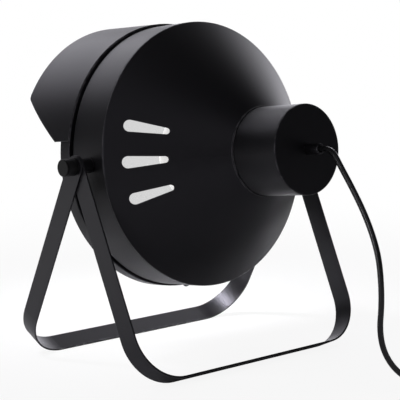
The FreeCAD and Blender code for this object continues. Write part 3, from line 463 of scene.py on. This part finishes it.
def bar_coat(name, level, rough, shine):
    finish = new_finish(name)
    drift = noise(finish, scale=15.0, detail=3.0)
    peel = noise(finish, PEEL)
    rolled = noise(finish, scale=90.0, stretch=ALONG_BAR)
    grain = noise(finish, GRAIN, detail=1.0)
    low = 1 - step(finish, along(finish, "Z"), SCUFFED_FULLY, SCUFFED_NO_MORE)
    scratches = noise(finish, scale=420.0, detail=4.0, stretch=ALONG_SCUFF)
    scuffed = low * step(finish, scratches, low=0.48, high=0.62)
    edge_patches = noise(finish, scale=130.0, detail=3.0)
    paler_edges = edges(finish, reach=0.0007) * step(finish, edge_patches, low=0.4, high=0.7)
    film = film_of(finish, drift, level)
    worn = turning(finish, paler_edges * 0.6, film, grey(0.05, tint=0.03))
    gloss_drift = drift * 0.06 + grain * 0.05 + scuffed * 0.15
    rounded = round_off(finish, BAR_ROUND)
    return surface(
        finish,
        Base_Color=turning(finish, scuffed, worn, grey(0.12)),
        Roughness=gloss_drift + (rough - 0.055) - paler_edges * 0.06,
        Specular_IOR_Level=shine,
        Specular_Tint=PAINTED_COOL_SHEEN_TINT,
        Normal=bump(finish, peel * 0.6 + rolled * 0.25 + grain * 0.15, FINE_RELIEF, rounded),
    )


stand_coat = bar_coat("powder_coat_on_bar", level=0.0026, rough=0.45, shine=0.5)
print("bar coat:", stand_coat.name)

# %% [markdown]
# ## Moulded plastic
#
# The knobs, the cord switch and the plug are moulded. Their gloss comes from the mould, which is
# spark-eroded to a fine even grain, so the texture is smaller and more regular than paint's.
# Hands polish the grain off along the edges. The knobs are the darkest thing in the picture, and
# get less shine than the rest.

# %% Moulded black plastic
FINE_SPARK = 0.0004


def moulded(name, level, rough, shine, grain_size=FINE_SPARK):
    finish = new_finish(name)
    drift = noise(finish, scale=30.0)
    place = place_on_piece(finish)
    settings = {"feature": "SMOOTH_F1"}
    inputs = {"Vector": place, "Scale": 1 / grain_size}
    spark = finish.node("ShaderNodeTexVoronoi", settings, inputs)
    fine = noise(finish, scale=5000.0, detail=1.0)
    polished = edges(finish, reach=0.0006)
    relief = (spark * 0.7 + fine * 0.3) * (1 - polished * 0.7)
    dark, pale = grey(level * 0.85, tint=0.02), grey(level * 1.15, tint=0.02)
    return surface(
        finish,
        Base_Color=turning(finish, drift, dark, pale),
        Roughness=drift * 0.06 + fine * 0.06 + (rough - 0.06) - polished * 0.16,
        Specular_IOR_Level=shine,
        Normal=bump(finish, relief, FINE_RELIEF),
    )


knob_plastic = moulded("knob_plastic", level=0.0035, rough=0.5, shine=0.22)
cord_plastic = moulded("cord_fitting_plastic", level=0.007, rough=0.42, shine=0.4)
holder_plastic = moulded(
    "lampholder_plastic", level=0.009, rough=0.3, shine=0.45, grain_size=0.0009
)
nylon = moulded("washer_nylon", level=0.012, rough=0.55, shine=0.4, grain_size=0.0007)
print("plastics:", knob_plastic.name, cord_plastic.name, holder_plastic.name, nylon.name)

# %% [markdown]
# ## Cord, tie and rubber
#
# The cord's outer skin is soft PVC, drawn over the wires while warm. It is smooth and satin with a
# slow waviness from the strands below, and it picks up dust. The tie is a flat strap with fine
# cross ribs, which a wave texture draws. Rubber has no shine to speak of, and greys with a faint
# bloom.

# %% PVC skin, ribbed strap and rubber
def cord_skin():
    finish = new_finish("cord_skin")
    wavy = noise(finish, scale=120.0, detail=1.0)
    fine = noise(finish, scale=2600.0)
    dusty = step(finish, noise(finish, scale=60.0, detail=5.0), low=0.5, high=0.8)
    clean, dust = grey(0.0035, tint=0.03), grey(0.009, tint=0.02)
    return surface(
        finish,
        Base_Color=turning(finish, dusty * 0.4, clean, dust),
        Roughness=dusty * 0.1 + fine * 0.06 + 0.24,
        Specular_IOR_Level=0.5,
        Normal=bump(finish, wavy * 0.8 + fine * 0.2, depth=0.00006),
    )


def ribbed_strap():
    finish = new_finish("ribbed_strap")
    settings = {"wave_type": "BANDS", "bands_direction": "Z"}
    inputs = {"Vector": place_on_piece(finish), "Scale": 320.0}
    ribs = finish.node("ShaderNodeTexWave", settings, inputs, output="Fac")
    drift = noise(finish, scale=70.0)
    return surface(
        finish,
        Base_Color=turning(finish, drift, grey(0.006), grey(0.012)),
        Roughness=drift * 0.1 + 0.42,
        Specular_IOR_Level=0.4,
        Normal=bump(finish, ribs, depth=0.00012),
    )


def rubber(name, level):
    finish = new_finish(name)
    bloom = step(finish, noise(finish, scale=45.0, detail=5.0), low=0.4, high=0.8)
    fine = noise(finish, scale=1800.0, detail=3.0)
    return surface(
        finish,
        Base_Color=turning(finish, bloom, grey(level), grey(level * 2.2)),
        Roughness=bloom * 0.1 + fine * 0.08 + 0.66,
        Specular_IOR_Level=0.35,
        Normal=bump(finish, fine, FINE_RELIEF),
    )


pvc = cord_skin()
strap = ribbed_strap()
black_rubber = rubber("sleeve_and_gasket_rubber", level=0.009)
cord.data.materials.clear()
cord.data.materials.append(pvc)
print("soft finishes:", pvc.name, strap.name, black_rubber.name)

# %% [markdown]
# ## Bare metal
#
# Four bare metals show on the lamp's inside, at its knobs and on the plug: zinc-plated and
# blackened steel, aluminium and brass. A Principled surface with Metallic at one takes its colour
# from the reflection, so the drawing is all in the roughness. Plating is cloudy, and turned metal
# has fine rings. Brass darkens where it isn't rubbed, so its edges stay brighter than its flats.

# %% Plated, drawn and tarnished metal
METALS = {
    "zinc_plated_steel": {
        "clean": (0.62, 0.62, 0.64), "dull": (0.42, 0.43, 0.46), "rough": 0.3, "lines": EVEN,
    },
    "zinc_plated_bar": {
        "clean": (0.62, 0.62, 0.64), "dull": (0.45, 0.45, 0.48), "rough": 0.26,
        "lines": (4.0, 0.3, 0.3),
    },
    "drawn_aluminium": {
        "clean": (0.8, 0.8, 0.81), "dull": (0.6, 0.6, 0.62), "rough": 0.3,
        "lines": (1.0, 5.0, 1.0),
    },
    "blackened_steel": {
        "clean": (0.06, 0.06, 0.065), "dull": (0.03, 0.03, 0.034), "rough": 0.42, "lines": EVEN,
    },
    "tarnished_brass": {
        "clean": (0.78, 0.57, 0.25), "dull": (0.42, 0.29, 0.13), "rough": 0.26, "lines": EVEN,
    },
}


def bare_metal(name, clean, dull, rough, lines):
    finish = new_finish(name)
    cloud = noise(finish, scale=70.0, detail=4.0)
    drawn = noise(finish, scale=900.0, stretch=lines)
    fine = noise(finish, scale=3000.0, detail=1.0)
    bright = edges(finish, reach=0.0005)
    tarnish = step(finish, cloud, low=0.35, high=0.7) * (1 - bright)
    return surface(
        finish,
        Base_Color=turning(finish, tarnish, (*clean, 1.0), (*dull, 1.0)),
        Metallic=1.0,
        Roughness=tarnish * 0.12 + drawn * 0.1 + (rough - 0.05),
        Normal=bump(finish, drawn * 0.7 + fine * 0.3, depth=0.00002),
    )


metals = {name: bare_metal(name, **look) for name, look in METALS.items()}
print("metals:", *metals)

# %% [markdown]
# The plug's pins are brass at the tip only. Half of each pin wears a thin black sleeve, so that no
# bare metal shows while the plug is partly out of its socket. Both are one solid here, so the
# finish changes at the sleeve's end by the distance along the plug.

# %% Plug pins, bare at the tip and sleeved at the root
SLEEVE_END_Y = 0.0908
SEAM = 0.00005


def sleeved_pin():
    finish = new_finish("sleeved_plug_pin")
    cloud = noise(finish, scale=90.0, detail=4.0)
    fine = noise(finish, scale=2400.0)
    sleeve = step(finish, along(finish, "Y"), SLEEVE_END_Y - SEAM, SLEEVE_END_Y + SEAM)
    tarnish = step(finish, cloud, low=0.35, high=0.75)
    metal = turning(finish, tarnish, (0.78, 0.58, 0.27, 1), (0.5, 0.36, 0.17, 1))
    return surface(
        finish,
        Base_Color=turning(finish, sleeve, metal, grey(0.01)),
        Metallic=1 - sleeve,
        Roughness=cloud * 0.14 + sleeve * 0.2 + 0.18,
        Normal=bump(finish, fine, depth=0.00002),
    )


pins = sleeved_pin()
print("pins:", pins.name)

# %% [markdown]
# ## Ceramic and wire
#
# The lampholder's insert is steatite, a dense off-white ceramic with a thin glaze: a coat with its
# own gloss lies over a duller body, and tiny dark specks sit in it. The two leads inside are told
# apart by colour, brown and blue, as they would be on any mains wiring. One material does both, by
# the side of the lamp that a point is on.

# %% Glazed ceramic and the two inner leads
MIDDLE = 0.0001


def glazed_ceramic():
    finish = new_finish("glazed_steatite")
    cloud = noise(finish, scale=80.0, detail=3.0)
    specks = step(finish, noise(finish, scale=1500.0, detail=1.0), low=0.71, high=0.76)
    body = turning(finish, cloud, (0.76, 0.73, 0.67, 1), (0.83, 0.81, 0.76, 1))
    return surface(
        finish,
        Base_Color=turning(finish, specks * 0.6, body, (0.3, 0.26, 0.22, 1)),
        Roughness=cloud * 0.15 + 0.35,
        Coat_Weight=0.25 + cloud * 0.5,
        Coat_Roughness=0.08,
        Normal=bump(finish, cloud, depth=0.0002),
    )


def lead_insulation():
    finish = new_finish("inner_lead_insulation")
    side = step(finish, along(finish, "X"), -MIDDLE, MIDDLE)
    fine = noise(finish, scale=1800.0)
    blue, brown = (0.02, 0.09, 0.3, 1), (0.14, 0.055, 0.02, 1)
    return surface(
        finish,
        Base_Color=turning(finish, side, blue, brown),
        Roughness=fine * 0.15 + 0.35,
        Normal=bump(finish, fine, depth=0.00004),
    )


steatite = glazed_ceramic()
leads = lead_insulation()
print("ceramic and leads:", steatite.name, leads.name)

# %% [markdown]
# ## Glass
#
# Through the vent slots the picture shows pale grey: an opal globe bulb, and beside it the bright
# surroundings through the glass front. Opal glass spreads light through its whole wall. A glow a
# little dimmer than the backdrop stands for that here, as really following light through the wall
# would take far longer for the same look. The glass front could be a refracting shader, but that
# casts a black shadow over everything behind it. A thin pane bends nothing, so it is mostly
# see-through by Alpha, with the gloss of glass left on top, and light falls through it as it
# should.

# %% Opal globe and glass front
GLOBE_GLOW = 0.72
PANE_ALPHA = 0.2


def opal():
    finish = new_finish("opal_glass")
    cloud = noise(finish, scale=22.0, detail=3.0)
    milk = turning(finish, cloud, (0.84, 0.83, 0.81, 1), (0.9, 0.89, 0.87, 1))
    return surface(
        finish,
        Base_Color=milk,
        Roughness=cloud * 0.06 + 0.12,
        Emission_Color=milk,
        Emission_Strength=GLOBE_GLOW,
        Normal=bump(finish, cloud, depth=0.0002),
    )


def pane():
    finish = new_finish("front_pane")
    waves = noise(finish, scale=18.0)
    dusty = step(finish, noise(finish, scale=260.0, detail=5.0), low=0.55, high=0.8)
    clean, dust = (0.05, 0.055, 0.058, 1), (0.3, 0.3, 0.3, 1)
    return surface(
        finish,
        Base_Color=turning(finish, dusty, clean, dust),
        Roughness=dusty * 0.2 + 0.03,
        Alpha=dusty * 0.05 + PANE_ALPHA,
        Normal=bump(finish, waves, depth=0.0002),
    )


globe_glass = opal()
front_pane = pane()
print("glass:", globe_glass.name, front_pane.name)

# %% [markdown]
# ## Every piece gets its finish
#
# The construction model already says what each piece is made of, so most finishes go on by that
# name. Pieces that differ from the rest of their kind, such as the knobs, are named one by one.

# %% Finishes by material, then by piece
BY_MATERIAL = {
    "black_paint": sheet_coat, "black_plastic": cord_plastic, "black_rubber": black_rubber,
    "cord_black": pvc, "ceramic_white": steatite, "zinc_steel": metals["zinc_plated_steel"],
    "aluminium": metals["drawn_aluminium"], "brass": metals["tarnished_brass"],
    "opal_glass": globe_glass, "clear_glass": front_pane, "pale_insulation": leads,
    "black_nylon": nylon,
}
PIECES = {
    stand_coat: ("front_frame", "rear_frame"),
    knob_plastic: ("knob_right", "knob_left"),
    holder_plastic: ("holder_dome", "holder_skirt"),
    strap: ("coil_tie",),
    pins: ("plug_pins",),
    metals["zinc_plated_bar"]: (
        "pivot_stud_right", "pivot_stud_left", "rocker_pin", "threaded_nipple",
    ),
    metals["blackened_steel"]: ("knob_washer_right", "knob_washer_left"),
}
by_piece = {name: material for material, names in PIECES.items() for name in names}
for name, node in nodes.items():
    made_of = node.material_slots[0].material.name.split(".")[0]
    for slot in node.material_slots:
        slot.material = by_piece.get(name, BY_MATERIAL[made_of])
print("finishes on", len(nodes), "pieces")

# %% [markdown]
# ## Softened edges
#
# No real edge is sharp to the last atom. On the sheet metal the coat's finish already rounds the
# edges off in its shading, which suits wide curved faces, since their long triangles would shade
# unevenly around a cut edge. Moulded and turned pieces are small and seen from close by, so theirs
# is real: a bevel modifier rounds each edge without touching the mesh below it. The weld before it
# joins the doubled points along each edge, because a bevel can't follow an edge that is split.

# %% A small bevel on moulded and turned pieces
SAME_POINT = 0.00002
BEVEL_STEPS = 2
SHARP_FROM = math.radians(40)
MOULDED_ROUND = 0.0005
TURNED_ROUND = 0.0002
MOULDED = {
    "knob_right", "knob_left", "switch_base", "switch_cover", "switch_rocker", "plug_body",
}
TURNED = {
    "ring_lock_screw", "ring_lock_nut", "switch_screws", "terminal_screws", "rocker_pin",
    "cord_gland", "holder_insert", "knob_washer_right", "knob_washer_left",
    "friction_washer_right", "friction_washer_left", "coil_tie",
}
for name in sorted(MOULDED | TURNED):
    node = nodes[name]
    weld = node.modifiers.new("weld", "WELD")
    weld.merge_threshold = SAME_POINT
    soft = node.modifiers.new("soft_edges", "BEVEL")
    soft.width = MOULDED_ROUND if name in MOULDED else TURNED_ROUND
    soft.segments = BEVEL_STEPS
    soft.limit_method = "ANGLE"
    soft.angle_limit = SHARP_FROM
    soft.harden_normals = True
print("edges softened on", len(MOULDED | TURNED), "pieces")

# %% [markdown]
# ## Floor
#
# The lamp stands on a white sweep that meets the white backdrop without a line. The floor near the
# lamp has to keep its shadow, so there it is white paint that takes light, mixed with a glow that
# only the camera and reflections see. Farther out the glow takes over, until floor and backdrop
# are the same white. Reflections see the glow only beyond the lamp, on the side where the sweep
# rises, as the other side would be the dark room behind the photographer.

# %% White sweep
WHITE = (1.0, 1.0, 1.0, 1.0)
PAINT = (0.86, 0.86, 0.86, 1.0)
FLOOR_HALF = 40.0
FLOOR_TOP = -0.0002
NEAR = 0.35
FAR = 1.3
GLOW_NEAR = 0.9
GLOSS_NEAR = -0.05
GLOSS_FAR = 0.5
GLOSS_SHARE = 0.7


def kinds_of_ray(finish):
    """1 for rays from the camera, for reflections and for rays through glass, each on its own."""
    names = ("Is Camera Ray", "Is Glossy Ray", "Is Transmission Ray")
    return [finish.node("ShaderNodeLightPath", output=name) for name in names]


def shaders_mixed(finish, share, first, second):
    """The first shader turning into the second."""
    return finish.node("ShaderNodeMixShader", inputs={0: share, 1: first, 2: second})


def white_sweep():
    finish = new_finish("white_sweep")
    place = place_on_piece(finish)
    settings = {"operation": "LENGTH"}
    away = finish.node("ShaderNodeVectorMath", settings, {FIRST: place}, output="Value")
    to_camera, glossy, through = kinds_of_ray(finish)
    ramp = step(finish, away, NEAR, FAR) * (1 - GLOW_NEAR) + GLOW_NEAR
    beyond = step(finish, 0 - along(finish, "Y"), GLOSS_NEAR, GLOSS_FAR)
    share = (to_camera + through) * ramp + glossy * beyond * GLOSS_SHARE
    paint = finish.node("ShaderNodeBsdfDiffuse", inputs={"Color": PAINT})
    glow = finish.node("ShaderNodeEmission", inputs={"Color": WHITE})
    both = shaders_mixed(finish, share, paint, glow)
    finish.node("ShaderNodeOutputMaterial", inputs={"Surface": both})
    return finish.owner


sides = ((-1, -1), (1, -1), (1, 1), (-1, 1))
corners = [(x * FLOOR_HALF, y * FLOOR_HALF, FLOOR_TOP) for x, y in sides]
floor_mesh = bpy.data.meshes.new("floor")
floor_mesh.from_pydata(corners, [], [(0, 1, 2, 3)])
floor_mesh.materials.append(white_sweep())
floor = add("floor", floor_mesh)
print("floor", 2 * FLOOR_HALF, "m across")

# %% [markdown]
# ## Light
#
# Black paint shows nothing but what stands around it, so lighting a black lamp means choosing its
# reflections. The drum in the picture is nearly black where it faces up and towards the camera,
# and pale along its far side, so the studio is dark overhead and in front, with the bright
# backdrop beyond the lamp and to its right. The world plays the backdrop. The camera sees it white
# everywhere, while gloss and glass see the bright patch where it really stands and dim grey
# elsewhere. Daylight lamps are a touch cooler than the paper behind them, which is why black paint
# under them looks slightly violet.

# %% World with a bright backdrop beyond the lamp
BACKDROP_TOWARDS = (-0.62, -0.76, 0.13)
PATCH_OUTER = math.radians(57)
PATCH_INNER = math.radians(19)
MATT_SHARE = 0.35
ROOM = 0.065
COOL = (0.965, 0.955, 1.02)
world = bpy.data.worlds.new("studio")
bpy.context.scene.world = world
studio = Finish(world)
looking = studio.node("ShaderNodeTexCoord", output="Generated")
middle = tuple(Vector(BACKDROP_TOWARDS).normalized())
towards = studio.node(
    "ShaderNodeVectorMath", {"operation": "DOT_PRODUCT"}, {FIRST: looking, SECOND: middle},
    output="Value",
)
patch = step(studio, towards, math.cos(PATCH_OUTER), math.cos(PATCH_INNER))
to_camera, glossy, through = kinds_of_ray(studio)
patch_share = glossy + through + MATT_SHARE * (1 - glossy)
white_share = 1 - (1 - to_camera) * (1 - patch * patch_share)
dim = (*(ROOM * part for part in COOL), 1.0)
room = studio.node("ShaderNodeBackground", inputs={"Color": dim})
shade = turning(studio, to_camera, (*COOL, 1.0), WHITE)
backdrop = studio.node("ShaderNodeBackground", inputs={"Color": shade})
both = shaders_mixed(studio, white_share, room, backdrop)
studio.node("ShaderNodeOutputWorld", inputs={"Surface": both})
print("room at", ROOM, "of the backdrop")

# %% [markdown]
# Six soft lamps do the rest. A wide box hangs above and beyond the lamp and draws the pale band
# along the drum's top edge. A tall one beyond the lamp on the right brightens the drum's far limb,
# and a narrow strip on the left is there for the edges alone. A small one high up, with a narrow
# beam, puts the bright spot in the far bend of the front stand. A weak box on the camera's side
# keeps the near faces from going out. The last lights pale pieces evenly, as a room's walls would,
# but stays out of the reflections.

# %% Soft boxes
DRUM = (0, 0, 0.2)
ABOVE_AXIS = (0, 0, 0.25)
FAR_BEND = (-0.14, -0.22, -0.05)
BEND_SPREAD = math.radians(20)
BOXES = {
    "box_beyond": {"place": (0.08, -1.1, 1.15), "aim": DRUM, "size": (1.25, 0.5), "watts": 4.6},
    "box_right": {"place": (-1.9, -1.5, 0.75), "aim": DRUM, "size": (1.2, 1.6), "watts": 11.5},
    "edge_strip": {"place": (2.1, 0.25, 0.35), "aim": ABOVE_AXIS, "size": (0.2, 1.3), "watts": 12},
    "bend_light": {"place": (0.6, -0.56, 1.41), "aim": FAR_BEND, "size": (0.3, 0.3), "watts": 1},
    "box_near": {"place": (1.2, 1.6, 1.6), "aim": DRUM, "size": (1.5, 1.5), "watts": 3},
    "walls": {"place": (0.9, 1.1, 1.9), "aim": DRUM, "size": (2.0, 2.0), "watts": 14},
}


def soft_box(name, place, aim, size, watts):
    data = bpy.data.lights.new(name, "AREA")
    data.shape = "RECTANGLE"
    data.size, data.size_y = size
    data.energy = watts
    data.color = COOL
    made = bpy.data.objects.new(name, data)
    made.rotation_mode = "QUATERNION"
    made.rotation_quaternion = (Vector(place) - Vector(aim)).to_track_quat("Z", "Y")
    made.location = place
    made.visible_camera = False
    bpy.context.scene.collection.objects.link(made)
    return made


boxes = {name: soft_box(name, **box) for name, box in BOXES.items()}
boxes["bend_light"].data.spread = BEND_SPREAD
boxes["walls"].visible_glossy = False
bpy.context.scene.view_settings.view_transform = "Standard"
print(len(boxes), "soft boxes")
